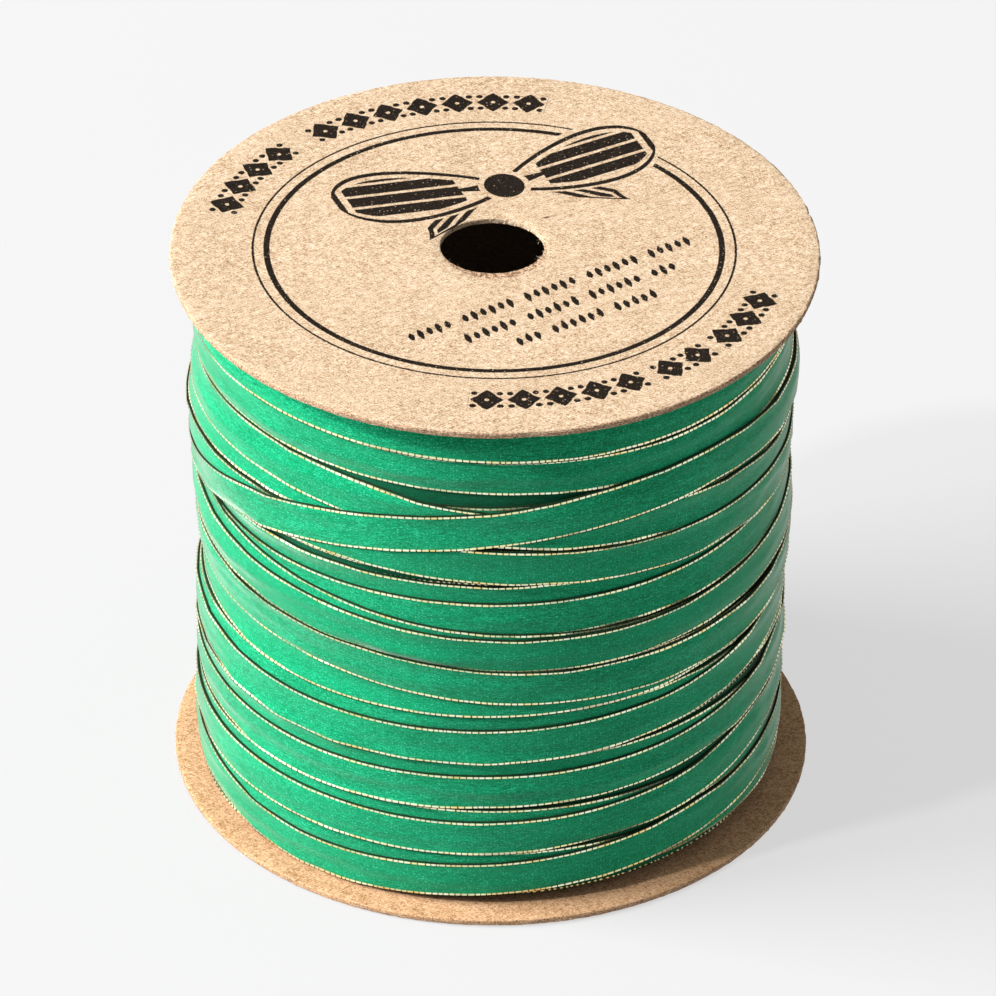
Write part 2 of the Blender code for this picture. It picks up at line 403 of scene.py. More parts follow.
def kraft(name, warmth, printed):
    """Uncoated kraft chipboard: speckled tan, with fine fibres, dark flecks and a browner cut edge. warmth
    multiplies its tones."""
    mat = Material(name, Roughness=0.9, Specular_IOR_Level=0.06)
    x, y, z = mat.place()
    far = (x * x + y * y).sqrt()
    clouds = mat.noise((x, y, z), (7.0, 7.0, 7.0), detail=3.0)
    mottle = mat.noise((x, y, z), (0.9, 0.8, 0.9), detail=3.0, roughness=0.65)
    grain = mat.noise((x, y, z), (0.26, 0.24, 0.26), detail=2.0)
    # Fibres that lie one way and fibres that cross them
    slanting = (x * 0.85 + y * 0.5, y * 0.85 - x * 0.5, z)
    crossing = (x * 0.7 - y * 0.7, y * 0.7 + x * 0.7, z + 9.0)
    slant = mat.noise(slanting, (1.5, 0.17, 0.4), detail=3.0, roughness=0.7)
    cross = mat.noise(crossing, (1.1, 0.15, 0.4), detail=2.0, roughness=0.7)
    tone = (clouds * 0.05 + mottle * 0.17 + grain * 0.34 + slant * 0.27 + cross * 0.17 - 0.5) * 1.3 + 0.5
    tones = [(at, tuple(c * w for c, w in zip(tint, warmth))) for at, tint in KRAFT_TONES]
    colour = mat.ramp(tone, *tones)
    flecks = mat.specks((x, y, z), (1.6, 1.6, 1.6), (0.055, 0.10), (0.60, 0.62))
    hairs = mat.specks((x + y * 0.5, y - x * 0.5, z), (3.6, 1.0, 3.0), (0.05, 0.09), (0.78, 0.80))
    colour = mat.mix(flecks.at_least(hairs) * 0.8, colour, FLECK_BROWN)
    russet_specks = mat.specks((x, y, z + 5.0), (0.8, 0.55, 0.8), (0.08, 0.26), (0.74, 0.78))
    colour = mat.mix(russet_specks * 0.5, colour, RUSSET)
    pale_place = (x - y * 0.7, y + x * 0.7, z)
    pale_fibres = mat.specks(pale_place, (1.3, 0.4, 1.3), (0.05, 0.16), (0.6, 0.64))
    colour = mat.mix(pale_fibres * 0.45, colour, PALE_FIBRE)
    # The die leaves the cut faces rough and darker, in thin layers
    outer = (far + (mottle - 0.5) * 0.8 - (FLANGE_RADIUS - 0.20)).step(0.0, 0.22)
    inner = 1.0 - (far - (mottle - 0.5) * 0.5 - (HOLE_RADIUS + 0.15)).step(0.0, 0.25)
    layers = mat.noise((x, y, z), (0.35, 0.35, 0.13), detail=3.0, roughness=0.7)
    colour = mat.mix(outer.at_least(inner) * 0.92, colour, mat.ramp(layers, *CUT_TONES))
    height = grain * 0.5 + slant * 0.6 + mottle * 0.6
    if printed:
        top = (z - (SPOOL_HEIGHT - 0.7) - y * TOP_TILT).step(0.0, 0.1)
        # The ink spreads a little into the board, and pinholes and worn spots let the board show through
        wear = mat.noise((x, y, z), (0.35, 0.35, 0.35), detail=2.0)
        pinholes = mat.specks((x, y, z), (0.62, 0.62, 0.62), (0.12, 0.24), (0.74, 0.77))
        spread = (wear - 0.5) * 0.22
        mask = ink(x + spread, y + spread) * (1.0 - pinholes * 0.6) * wear.step(0.22, 0.34) * top
        ink_tone = mat.ramp(grain, (0.36, (0.003, 0.002, 0.0015)), (0.66, (0.015, 0.011, 0.008)))
        colour = mat.mix(mask * 0.995, colour, ink_tone)
        # One stray dark splinter beside the hole
        aside, ahead = x - SPLINTER_PLACE[0], y - SPLINTER_PLACE[1]
        splinter = abs(ahead - aside * 0.3) * 2.6 + abs(aside) - 0.75
        colour = mat.mix((1.0 - splinter.step(-0.15, 0.1)) * top * 0.9, colour, SPLINTER_BROWN)
    mat.set(Base_Color=colour)
    mat.bump(height, 0.06, strength=0.6)
    return mat.data


COTTON_TONES = (
    (0.36, (0.0008, 0.070, 0.027)),
    (0.45, (0.0015, 0.144, 0.058)),
    (0.54, (0.0035, 0.224, 0.096)),
    (0.66, (0.0200, 0.430, 0.224)),
)
# painted shade for the climbing layer, seen only down between the turns on it
COTTON_PAINTED_SHADE = (0.0006, 0.030, 0.012)
COTTON_PAINTED_GLINT = (0.10, 0.58, 0.38)
COTTON_EDGE_SHADE = (0.012, 0.014, 0.006)
SHEEN = 0.85
SHEEN_TINT = (1.0, 0.98, 0.92, 1.0)
FOIL_TONES = ((0.30, (0.95, 0.74, 0.30)), (0.42, (0.95, 0.90, 0.52)), (0.60, (0.95, 0.98, 0.74)))
FOIL_TURNED_OVER = (0.07, 0.045, 0.015)


def ribbon_green():
    """Dyed cotton, all of it fine threads along the ribbon, with a soft shine and paler specks of painted
    highlight. Its very edges are painted near black, painted shade of the gaps between turns and partly a
    dark selvage, and the climbing layer is painted darker as shade.
    """
    mat = Material("green_cotton", Specular_IOR_Level=0.05, Sheen_Roughness=0.31)
    mat.shader.inputs["Sheen Tint"].default_value = SHEEN_TINT
    along, across, turn = mat.place("strip")
    threads = mat.noise((along, across, turn), (1.6, 0.11, 1.0), detail=3.0, roughness=0.65)
    fine = mat.noise((along, across, turn), (0.28, 0.14, 1.0), detail=2.0, roughness=0.75)
    dye = mat.noise((along, across, turn), (14.0, 2.4, 1.0), detail=2.0)
    tone = threads * 0.34 + fine * 0.56 + dye * 0.10
    colour = mat.ramp(tone, *COTTON_TONES)
    # Painted shade: the climbing layer shows only down between the turns that lie on it, where little light
    # gets, so its colour is painted darker
    climbing_shade = 1.0 - turn.step((CLIMBING_TURNS - 1) * TURN_STEP + 0.5, CLIMBING_TURNS * TURN_STEP - 0.5)
    colour = mat.mix(climbing_shade * 0.72, colour, COTTON_PAINTED_SHADE)
    # Painted highlights: single fibres that catch the light, as paler specks in the colour
    painted_glints = mat.specks((along, across, turn), (0.50, 0.17, 1.0), (0.15, 0.40), (0.66, 0.72))
    colour = mat.mix(painted_glints * (1.0 - climbing_shade) * 0.5, colour, COTTON_PAINTED_GLINT)
    # Painted shade: the outer DARK_EDGE of each side is painted near black for the shadowed gaps between
    # turns, partly a dark selvage, broken up by noise
    worn = mat.noise((along, turn, turn), (1.3, 1.0, 1.0), detail=2.0)
    edge = (abs(across) - (RIBBON_WIDTH / 2 - DARK_EDGE) + worn * 0.10 - 0.05).step(-0.03, 0.03)
    colour = mat.mix(edge * 0.95, colour, COTTON_EDGE_SHADE)
    mat.set(Base_Color=colour, Roughness=0.48 + fine * 0.16, Sheen_Weight=(1.0 - edge) * SHEEN)
    mat.bump(threads * 0.6 + fine * 0.8, 0.035, strength=0.75)
    return mat.data


def gold():
    """The edge thread's metal foil: pale gold, redder where it is worn and dark where it turns over."""
    mat = Material("gold_thread", Metallic=0.85, Roughness=0.28)
    along, turned_over, turn = mat.place("strip")
    worn = mat.noise((along, turn, turn), (3.0, 1.0, 1.0), detail=3.0)
    colour = mat.ramp(worn, *FOIL_TONES)
    colour = mat.mix(turned_over.step(0.25, 0.75) * 0.92, colour, FOIL_TURNED_OVER)
    mat.set(Base_Color=colour)
    return mat.data


def core_paper():
    """The core's brown paper, wound in a spiral whose seams show as fine slanted lines."""
    mat = Material("core_paper", Roughness=0.9, Specular_IOR_Level=0.2)
    x, y, z = mat.place()
    angle = y.math("ARCTAN2", x)
    spiral_pitch = 60.0
    seam = abs((z + angle * (spiral_pitch / math.tau)).repeated(spiral_pitch)) - 0.25
    fibres = mat.noise((x, y, z), (0.8, 0.8, 0.3), detail=3.0)
    colour = mat.ramp(fibres, (0.35, (0.055, 0.036, 0.022)), (0.65, (0.105, 0.070, 0.044)))
    colour = mat.mix(1.0 - seam.step(0.0, 0.15), colour, (0.02, 0.013, 0.008))
    mat.set(Base_Color=colour)
    mat.bump(fibres, 0.04, strength=0.6)
    return mat.data


def dried_glue():
    """Hot-melt glue, milky and lumpy."""
    mat = Material("dried_glue", Roughness=0.35, Subsurface_Weight=0.2)
    mat.shader.inputs["Subsurface Scale"].default_value = 1.5 * MM
    x, y, z = mat.place()
    lumps = mat.noise((x, y, z), (1.8, 1.8, 1.2), detail=2.0)
    mat.set(Base_Color=mat.ramp(lumps, (0.3, (0.55, 0.46, 0.32)), (0.7, (0.74, 0.68, 0.54))))
    mat.bump(lumps, 0.4, strength=0.7)
    return mat.data


def paper_tape():
    """Tan crepe paper, its wrinkles across the tape."""
    mat = Material("paper_tape", Roughness=0.7)
    x, y, z = mat.place()
    crepe = mat.noise((x, y, z), (0.5, 0.5, 3.0), detail=2.0)
    mat.set(Base_Color=mat.ramp(crepe, (0.3, (0.55, 0.42, 0.25)), (0.7, (0.72, 0.60, 0.42))))
    mat.bump(crepe, 0.06, strength=0.6)
    return mat.data


def paper_fibre():
    """The torn fibres at the boards' edges, paler than the board."""
    mat = Material("paper_fibre", Roughness=0.8)
    place = mat.place()
    tone = mat.noise(place, (0.6, 0.6, 0.6))
    mat.set(Base_Color=mat.ramp(tone, (0.35, (0.45, 0.32, 0.20)), (0.6, (0.92, 0.84, 0.70))))
    return mat.data


# ---------------------------------------------------------------- mesh helpers


def closed_strip(name, rings, strip_place=None):
    """A closed solid through rings of points, an array [ring, point round it, xyz]. Its ends are capped.
    strip_place is what the materials read as each point's place on the ribbon."""
    count, sides, _ = rings.shape
    index = np.arange(count * sides).reshape(count, sides)
    here, there = index[:-1], index[1:]
    walls = np.stack(
        [here, np.roll(here, -1, axis=1), np.roll(there, -1, axis=1), there], axis=-1
    ).reshape(-1, 4)
    half = sides // 2
    low = np.arange(half - 1)
    cap = np.stack([low, sides - 1 - low, sides - 2 - low, low + 1], axis=-1)
    faces = np.concatenate([walls, index[0][cap], index[-1][cap][:, ::-1]])
    mesh = bpy.data.meshes.new(name)
    mesh.vertices.add(count * sides)
    mesh.vertices.foreach_set("co", (rings * MM).astype(np.float32).ravel())
    mesh.loops.add(faces.size)
    mesh.loops.foreach_set("vertex_index", faces.astype(np.int32).ravel())
    mesh.polygons.add(len(faces))
    mesh.polygons.foreach_set("loop_start", np.arange(0, faces.size, 4, dtype=np.int32))
    mesh.update(calc_edges=True)
    mesh.validate()
    if strip_place is not None:
        layer = mesh.attributes.new("strip", "FLOAT_VECTOR", "POINT")
        layer.data.foreach_set("vector", strip_place.astype(np.float32).ravel())
    return new_object(name, mesh)


SHARP_DEGREES = 40.0


def finished(obj, material, body, smooth=True):
    """Gives a piece its material and shading. It rides on body unless body is None."""
    obj.data.materials.clear()
    obj.data.materials.append(material)
    if smooth:
        obj.data.shade_smooth()
        obj.data.set_sharp_from_angle(angle=math.radians(SHARP_DEGREES))
    else:
        obj.data.shade_flat()
    if body:
        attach(obj, body)


def wander(count, spacing, size, rng):
    """A smooth random curve of count values, about size high either side of 0, that bends anew every spacing
    values."""
    knots = rng.normal(0.0, 1.0, int(count / spacing) + 4)
    at = np.arange(count) / spacing + 1
    whole = at.astype(int)
    part = at - whole
    ease = part * part * (3 - 2 * part)
    return size * (knots[whole] * (1 - ease) + knots[whole + 1] * ease)


# ---------------------------------------------------------------- the ribbon, laid on the winding

RIBBON_WIDTH = 6.5
BAND_THICKNESS = 0.32
EDGE_ROOM = 0.10  # left over the band's edges for the threads, by the turns laid on it
# DARK_EDGE is the width painted near black at each edge of the band: painted shade of the gaps between turns,
# partly a dark selvage
DARK_EDGE = 0.20
THREAD_WIDTH = 0.30
THREAD_THICKNESS = 0.10
THREAD_PITCH = 0.98  # the flat foil turns over once in this length
THREAD_LIFT = 0.02  # how far its middle stands off the band
FLIP = 0.24  # the share of the pitch in which it turns over
FREE_END_LENGTH = 35.0
WINDING_RADIUS = 45.75  # under the layers that are modelled
WINDING_CLEARANCE = 0.15  # from the buried turns to the first of those layers
LEAN = 0.25  # how much fuller the winding is on the left than the right
STATIONS = 180  # round the spool
STATION_LENGTH = math.tau * WINDING_RADIUS / STATIONS
TURN_STEP = 3.7  # between the texture coordinates of one turn and the next
THREAD_TURN_STEP = 2.9
CELL = 0.25  # of the height map, up the winding
ACROSS = np.linspace(-1.0, 1.0, 11)  # places across the ribbon, where 1 is half its width

# Where the ribbon's middle runs across the front of the spool, turn by turn, at FRONT_ANGLES from left to
# right. Each turn goes on behind the spool to the next one's left end. The layer beneath climbs and the next
# one comes down, both evenly; the last turns climb again, loosely, and then criss-cross near the top.
FRONT_ANGLES = (-80.0, -40.0, 0.0, 40.0, 80.0)
CLIMBING_TURNS = 13
CLIMB_START, CLIMB_PITCH = 6.0, 6.6
DESCENDING_FRONT = (85.0, 73.6, 66.4, 58.9, 51.4, 43.0, 34.7, 26.0, 16.4, 8.2)
DESCENDING_SWAY = (-0.8, -0.2, 0.0, -0.3, -0.8)
LAST_TURNS = (
    (7.4, 4.8, 6.2, 8.7, 11.3),
    (14.0, 14.0, 14.2, 16.0, 20.4),
    (22.9, 22.4, 23.0, 23.9, 27.0),
    (32.2, 31.5, 31.8, 33.1, 36.6),
    (41.1, 40.3, 40.6, 41.1, 43.5),
    (55.4, 55.5, 55.8, 56.1, 57.3),
    (56.4, 53.3, 50.4, 49.3, 50.5),
    (53.5, 51.4, 49.4, 49.3, 51.5),
    (46.5, 45.4, 43.4, 42.3, 43.3),
    (62.0, 67.8, 66.2, 64.3, 64.4),
    (72.1, 73.8, 73.9, 74.9, 75.7),
    (83.3, 82.9, 82.2, 81.0, 81.6),
    (88.6, 89.1, 88.5, 87.8, 88.2),
    (76.1, 76.3, 73.0, 69.8, 65.8),
    (65.7, 67.4, 66.1, 63.8, 62.2),
    (61.0, 68.0, 73.2, 76.1, 74.5),
)
AFTER_LAST_TURN = ((0.90, 75.0), (1.20, 73.0))  # (turns on from the last turn's start, height)
EXTRA_TURNS = 0.2  # laid beyond the last of them
LAST_SLACK = (0.4, 0.25, 0.07)  # how far the last turn stands off, how many turns from the end, over how many

# The winding's hollow foot, its crown that draws in under the top board, and its swells
FOOT_TOP, FOOT_HEIGHT = 5.2, 3.4
FOOT_DEPTH = 4.6
CROWN_BOTTOM, CROWN_HEIGHT = 90.5, 3.0
CROWN_DEPTH = 1.5
# On each side, how far it swells out, at what height, and over how much height each way
LEFT_SWELLS = ((1.1, 67, 4), (-0.9, 58, 4), (-1.6, 41, 3.5))
RIGHT_SWELLS = ((0.9, 74.5, 6), (0.7, 49, 7))


def ribbon_heights():
    """The height of the ribbon's middle at every station, from the first climbing turn to past its end."""
    fronts = [
        [CLIMB_START + CLIMB_PITCH * k + CLIMB_PITCH * a / 360 for a in FRONT_ANGLES]
        for k in range(CLIMBING_TURNS)
    ]
    fronts += [[front + sway for sway in DESCENDING_SWAY] for front in DESCENDING_FRONT]
    fronts += LAST_TURNS
    turns = [k + 0.5 + a / 360 for k in range(len(fronts)) for a in FRONT_ANGLES]
    heights = [z for front in fronts for z in front]
    for more, z in AFTER_LAST_TURN:
        turns.append(len(fronts) - 1 + more)
        heights.append(z)
    turns, heights = np.array(turns), np.array(heights)
    slopes = np.gradient(heights, turns)
    at = np.arange(int(len(fronts) * STATIONS + EXTRA_TURNS * STATIONS)) / STATIONS
    i = np.clip(np.searchsorted(turns, at) - 1, 0, len(turns) - 2)
    span = turns[i + 1] - turns[i]
    s = np.clip((at - turns[i]) / span, 0, 1)
    curve = (
        (2 * s**3 - 3 * s**2 + 1) * heights[i]
        + (s**3 - 2 * s**2 + s) * span * slopes[i]
        + (3 * s**2 - 2 * s**3) * heights[i + 1]
        + (s**3 - s**2) * span * slopes[i + 1]
    )
    room = RIBBON_WIDTH / 2 + 0.1
    return np.clip(curve, BOARD + room, INSIDE_TOP - room)


def bare_winding(angles, heights, hollow):
    """The radius of the winding under the layers that are modelled, for each angle and height. It is a little
    fuller on the left than the right, and bulges where the last turns cross. With hollow it draws in at the
    foot of the front right, where the outer layers stand clear of it."""
    cosine = np.cos(angles)[:, None]
    left, right = np.maximum(-cosine, 0), np.maximum(cosine, 0)
    front_right = (0.5 + 0.5 * np.cos(angles + math.radians(72)))[:, None] ** 5
    foot = np.clip((FOOT_TOP - heights) / FOOT_HEIGHT, 0, 1) ** 2
    crown = np.clip((heights - CROWN_BOTTOM) / CROWN_HEIGHT, 0, 1) ** 2

    def swollen(swells):
        return sum(out * np.exp(-(((heights - middle) / reach) ** 2)) for out, middle, reach in swells)

    radius = WINDING_RADIUS - LEAN * cosine - crown * CROWN_DEPTH
    if hollow:
        radius = radius - foot * FOOT_DEPTH * front_right
    return radius + left * swollen(LEFT_SWELLS) + right * swollen(RIGHT_SWELLS)


def lay_ribbon(rng):
    """Lays the whole ribbon, turn by turn, each as low as the turns below and its own stiffness let it.
    Returns each station's turn, and for each point across it the radius of the underside and the height."""
    heights = ribbon_heights()
    count = len(heights)
    heights[1:-1] += wander(count, 40, 0.07, rng)[1:-1]
    slope = np.gradient(heights) / STATION_LENGTH
    half = RIBBON_WIDTH / 2 * np.sqrt(1 + slope**2)
    z = heights[:, None] + half[:, None] * ACROSS
    cells = np.arange(0.0, SPOOL_HEIGHT, CELL)
    surface = bare_winding(math.tau * (np.arange(STATIONS) / STATIONS + 0.25), cells, hollow=False)
    under = np.zeros_like(z)
    thickness = BAND_THICKNESS + EDGE_ROOM * np.abs(ACROSS) ** 8
    stiffness = 0.035  # the most that a point may lie below its two neighbours across the ribbon
    edge_droop = 0.05  # the most that an edge may lie below the slope that leads to it
    turn_cosine = 2 * math.cos(math.tau / STATIONS)
    ahead = 24  # stations of the next turn that are laid for a trial, so that the turns join smoothly
    passes = 60
    loose = wander(count, 22, 0.05, rng)[:, None] + np.abs(wander(count, 30, 0.06, rng))[:, None] * ACROSS**2
    tilt = wander(count, 26, 0.05, rng)[:, None] * ACROSS
    turns_left = (count / STATIONS - EXTRA_TURNS) - np.arange(count) / STATIONS
    most_slack, slack_middle, slack_length = LAST_SLACK
    slack = most_slack * np.exp(-(((turns_left - slack_middle) / slack_length) ** 2))[:, None]
    for start in range(0, count, STATIONS):
        stop = min(start + STATIONS + ahead, count)
        columns = np.arange(start, stop) % STATIONS
        stations = range(start, stop)
        rest = np.stack([np.interp(z[i], cells, surface[c]) for i, c in zip(stations, columns)])
        rest += np.maximum(loose[start:stop] + tilt[start:stop], 0.0) + slack[start:stop]
        r = rest.copy()
        first = under[start - 1] if start else r[0]
        for _ in range(passes):
            # It is pulled taut along its length, and bends only so sharply across it
            before, after = np.vstack([first, r[:-1]]), np.vstack([r[1:], r[-1:]])
            taut = turn_cosine / (1 / before + 1 / after)
            across = r.copy()
            across[:, 1:-1] = (r[:, :-2] + r[:, 2:]) / 2 - stiffness
            across[:, 0] = r[:, 1] + np.minimum(r[:, 1] - r[:, 2], 0) - edge_droop
            across[:, -1] = r[:, -2] + np.minimum(r[:, -2] - r[:, -3], 0) - edge_droop
            r = np.maximum(rest, np.maximum(taut, across))
        for i in range(start, min(start + STATIONS, count)):
            under[i] = r[i - start]
            column = i % STATIONS
            covered = (cells >= z[i, 0]) & (cells <= z[i, -1])
            top = np.interp(cells[covered], z[i], under[i] + thickness)
            surface[column, covered] = np.maximum(surface[column, covered], top)
    return np.arange(count) / STATIONS, under, z


def cylindrical(turn, radius, z):
    """Points at a turn, radius and height. A whole turn is at the back, and the turns run anticlockwise as
    seen from above."""
    angle = math.tau * (turn + 0.25)
    return np.stack([radius * np.cos(angle), radius * np.sin(angle), z + 0 * radius], axis=-1)


def ribbon_band(name, laid, start, stop):
    """The cotton between the gold threads, from one station to another."""
    turn, under, z = (part[start : stop + 1] for part in laid)
    middle = (z[:, :1] + z[:, -1:]) / 2
    inner = cylindrical(turn[:, None], under, middle + (z - middle) * 0.99)
    rounding = 0.08 * np.abs(ACROSS) ** 20
    outer = cylindrical(turn[:, None], under + BAND_THICKNESS - rounding, z)
    rings = np.concatenate([outer, inner[:, ::-1]], axis=1)
    along = turn * math.tau * WINDING_RADIUS
    across = ACROSS * RIBBON_WIDTH / 2
    turn_place = np.floor(turn)[:, None] * TURN_STEP
    one_side = np.stack(np.broadcast_arrays(along[:, None], across, turn_place), axis=-1)
    strip_place = np.concatenate([one_side, one_side[:, ::-1]], axis=1)
    return closed_strip(name, rings, strip_place)


def edge_thread(name, laid, start, stop, edge, plain, rng):
    """The gold thread along one edge: a foil that lies flat, turns over and lies flat again. edge is 0, the
    lower, or -1, the upper. A plain one, for a buried layer, twists evenly and has fewer faces."""
    turn, under, z = (part[start : stop + 1] for part in laid)
    pitches = int((len(turn) - 1) * STATION_LENGTH / THREAD_PITCH)
    # Where in each pitch the foil has its corners, and how many half turns it has made there
    steps = np.array([0.0, 0.5]) if plain else np.array([0.0, 1 - FLIP, 1 - FLIP / 2])
    flip = np.array([0.0, 0.5]) if plain else np.array([0.0, 0.0, 0.5])
    whole = np.arange(pitches)[:, None]
    starts = np.concatenate([[0.0], np.cumsum(rng.normal(1.0, 0.17, pitches))])
    stretch = (len(turn) - 1) / starts[-1]
    at = ((starts[:-1, None] + steps * np.diff(starts)[:, None]) * stretch).ravel()
    twist = math.pi * (whole + flip).ravel()
    count = len(at)
    known = np.arange(len(turn))
    inwards = 1 if edge == 0 else -1
    inset = THREAD_WIDTH / 2 + DARK_EDGE
    lean = (under[:, edge + inwards] - under[:, edge]) / (RIBBON_WIDTH / (len(ACROSS) - 1))
    fine_turn = np.interp(at, known, turn)
    fine_radius = np.interp(at, known, under[:, edge] + lean * inset) + BAND_THICKNESS + THREAD_LIFT
    fine_z = np.interp(at, known, z[:, edge]) + inwards * inset
    fine_lean = np.interp(at, known, lean) * inwards
    fine_z += wander(count, 11, 0.02, rng)
    fine_radius += wander(count, 13, 0.015, rng)
    twist = twist + wander(count, 17, 0.22, rng)
    half_width = THREAD_WIDTH / 2 * (1 + wander(count, 9, 0.08, rng))
    corners = []
    for side, face in ((1, 1), (-1, 1), (-1, -1), (1, -1)):
        flat, thick = side * half_width, face * THREAD_THICKNESS / 2
        out = thick * np.cos(twist) - flat * np.sin(twist)
        up = flat * np.cos(twist) + thick * np.sin(twist)
        corners.append(cylindrical(fine_turn, fine_radius + out + up * fine_lean, fine_z + up))
    rings = np.stack(corners, axis=1)
    turned_over = np.tile(flip * 2, pitches)
    place = np.stack([at * STATION_LENGTH, turned_over, np.floor(fine_turn) * THREAD_TURN_STEP], axis=-1)
    return closed_strip(name, rings, place[:, None].repeat(4, axis=1))


def add_ribbon():
    """The ribbon from the first climbing turn to its tip, each stretch as its band and its two threads."""
    rng = np.random.default_rng(SEED)
    laid = lay_ribbon(rng)
    cotton = ribbon_green()
    foil = gold()
    hinge_turn = math.atan2(END_HINGE.y, END_HINGE.x) / math.tau - 0.25
    last_turn = CLIMBING_TURNS + len(DESCENDING_FRONT) + len(LAST_TURNS) - 1
    hinge = int(round((last_turn + hinge_turn % 1.0) * STATIONS))
    tip = hinge + int(round(FREE_END_LENGTH / STATION_LENGTH))
    before_hinge = hinge - 5  # the end's piece begins here, so that its bend is all in one piece
    descending = CLIMBING_TURNS * STATIONS
    last = (CLIMBING_TURNS + len(DESCENDING_FRONT)) * STATIONS
    stretches = (
        ("ribbon_climbing_layer", 0, descending, True, ("ribbon_full_layer",)),
        ("ribbon_descending_layer", descending, last, False, ()),
        ("ribbon_last_layer", last, before_hinge, False, ("ribbon_down_turn", "ribbon_up_turn")),
        ("ribbon_end", before_hinge, tip, False, ("ribbon_free_end",)),
    )
    strands = (
        ("band", "green_cotton", None),
        ("upper_thread", "gold_thread", -1),
        ("lower_thread", "gold_thread", 0),
    )
    for name, start, stop, plain, stands_for in stretches:
        moves = name == "ribbon_end"
        body = None if moves else "spool"
        for strand, slot, edge in strands:
            piece_name = f"{name}_{strand}"
            if edge is None:
                piece = ribbon_band(piece_name, laid, start, stop)
                finished(piece, cotton, body)
            else:
                piece = edge_thread(piece_name, laid, start, stop, edge, plain, rng)
                finished(piece, foil, body, smooth=False)
            if moves:
                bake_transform(piece)
            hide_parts(*(f"{node}_{strand}" for node in stands_for))


def add_buried_turns():
    """The ribbon under the layers that are modelled, as one turned solid down to the core."""
    bore, _ = cad_radii("ribbon_buried_turns")
    low, high = (corner.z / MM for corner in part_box("ribbon_buried_turns"))
    angles = np.linspace(0, math.tau, STATIONS, endpoint=False)
    turn = (angles / math.tau - 0.25)[:, None]
    heights = np.linspace(low, high, 120)
    around = cylindrical(turn, bare_winding(angles, heights, hollow=True) - WINDING_CLEARANCE, heights)
    inner = np.full((STATIONS, 1), bore)
    rings = np.concatenate([cylindrical(turn, inner, low), around, cylindrical(turn, inner, high)], axis=1)
    turns = closed_loop("ribbon_buried_layers", rings)
    finished(turns, buried_cotton_painted_shade(), "spool")
    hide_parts("ribbon_buried_turns")


# ---------------------------------------------------------------- the flanges

FLANGE_SECTIONS = 360
UP = np.array([0.0, 0.0, 1.0])
TOP_HOLE = (-0.3, 1.15, 0.03)  # how far it is off centre in x and y, and by what share it is wider than deep
FUZZ_DEPTH = 0.5  # of the board's height, over which torn fibres stand


def board_profile(hole, rim):
    """(radius, share of the board's height, roughness) round a flange's section, from the hole's lower corner
    on. The die has crushed the lower corners."""
    lower = [(hole, 0.3, 0.8), (hole + 0.3, 0.1, 0.3)]
    lower += [(r, 0.0, 0.0) for r in np.linspace(hole + 2, rim - 2, 14)]
    lower += [(rim - 0.4, 0.08, 0.3), (rim - 0.1, 0.2, 0.7)]
    side = [(rim, share, 1.0) for share in (0.36, 0.52, 0.68, 0.84)]
    upper = [(rim - 0.1, 0.95, 0.6), (rim - 0.4, 0.99, 0.3)]
    upper += [(r, 1.0, 0.0) for r in np.linspace(rim - 2, hole + 2, 14)]
    upper += [(hole + 0.3, 1.0, 0.2), (hole + 0.05, 0.94, 0.6)]
    wall = [(hole, share, 1.0) for share in (0.8, 0.62, 0.45)]
    return lower + side + upper + wall


def flange_disc(name, bottom, warp, rim_shape, hole, rng):
    """A die-cut board disc, its cut faces a little ragged. warp(x, y) bends it, rim_shape(angle) moves its
    rim, and hole is like TOP_HOLE."""
    angles = np.linspace(0, math.tau, FLANGE_SECTIONS, endpoint=False)
    profile = board_profile(HOLE_RADIUS, FLANGE_RADIUS)
    rings = np.zeros((FLANGE_SECTIONS, len(profile), 3))
    off_x, off_y, wider = hole
    for k, (radius, share, ragged) in enumerate(profile):
        tear = rng.normal(0, 0.045, FLANGE_SECTIONS) * ragged
        share_out = (radius / FLANGE_RADIUS) ** 6
        r = radius + tear + rim_shape(angles) * share_out
        near = (1 - (radius - HOLE_RADIUS) / (FLANGE_RADIUS - HOLE_RADIUS)) ** 3
        x = r * np.cos(angles) * (1 + wider * near) + off_x * near
        y = r * np.sin(angles) * (1 - wider * near) + off_y * near
        z = bottom + BOARD * share + rng.normal(0, 0.02, FLANGE_SECTIONS) * ragged + warp(x, y)
        rings[:, k] = np.stack([x, y, z], axis=-1)
    return closed_loop(name, rings)


def closed_loop(name, rings):
    """A ring-shaped closed solid through rings of points, the last joined to the first."""
    count, sides, _ = rings.shape
    index = np.arange(count * sides).reshape(count, sides)
    there = np.roll(index, -1, axis=0)
    faces = np.stack(
        [index, there, np.roll(there, -1, axis=1), np.roll(index, -1, axis=1)], axis=-1
    ).reshape(-1, 4)
    mesh = bpy.data.meshes.new(name)
    mesh.from_pydata((rings.reshape(-1, 3) * MM).tolist(), [], faces.tolist())
    mesh.update()
    return new_object(name, mesh)


def top_warp(x, y):
    """How far the top board is out of its flat place, glued on aslant and bowed across."""
    slant = (x * 0.5 - y * 0.85) / FLANGE_RADIUS
    far = (x * x + y * y) / FLANGE_RADIUS**2
    return TOP_TILT * y - 0.12 * slant * far


def top_rim(angle):
    """How far the top board's rim is out of round: flatter at the back left and fuller at the front right,
    with a dent at the front and a nick at the right."""
    rim = -0.176 * np.cos(angle - math.radians(130))
    dent = -0.28 * np.exp(-(((angle - math.radians(277)) / 0.035) ** 2))
    nick = -0.35 * np.exp(-(((angle - math.radians(13)) / 0.006) ** 2))
    return rim + dent + nick


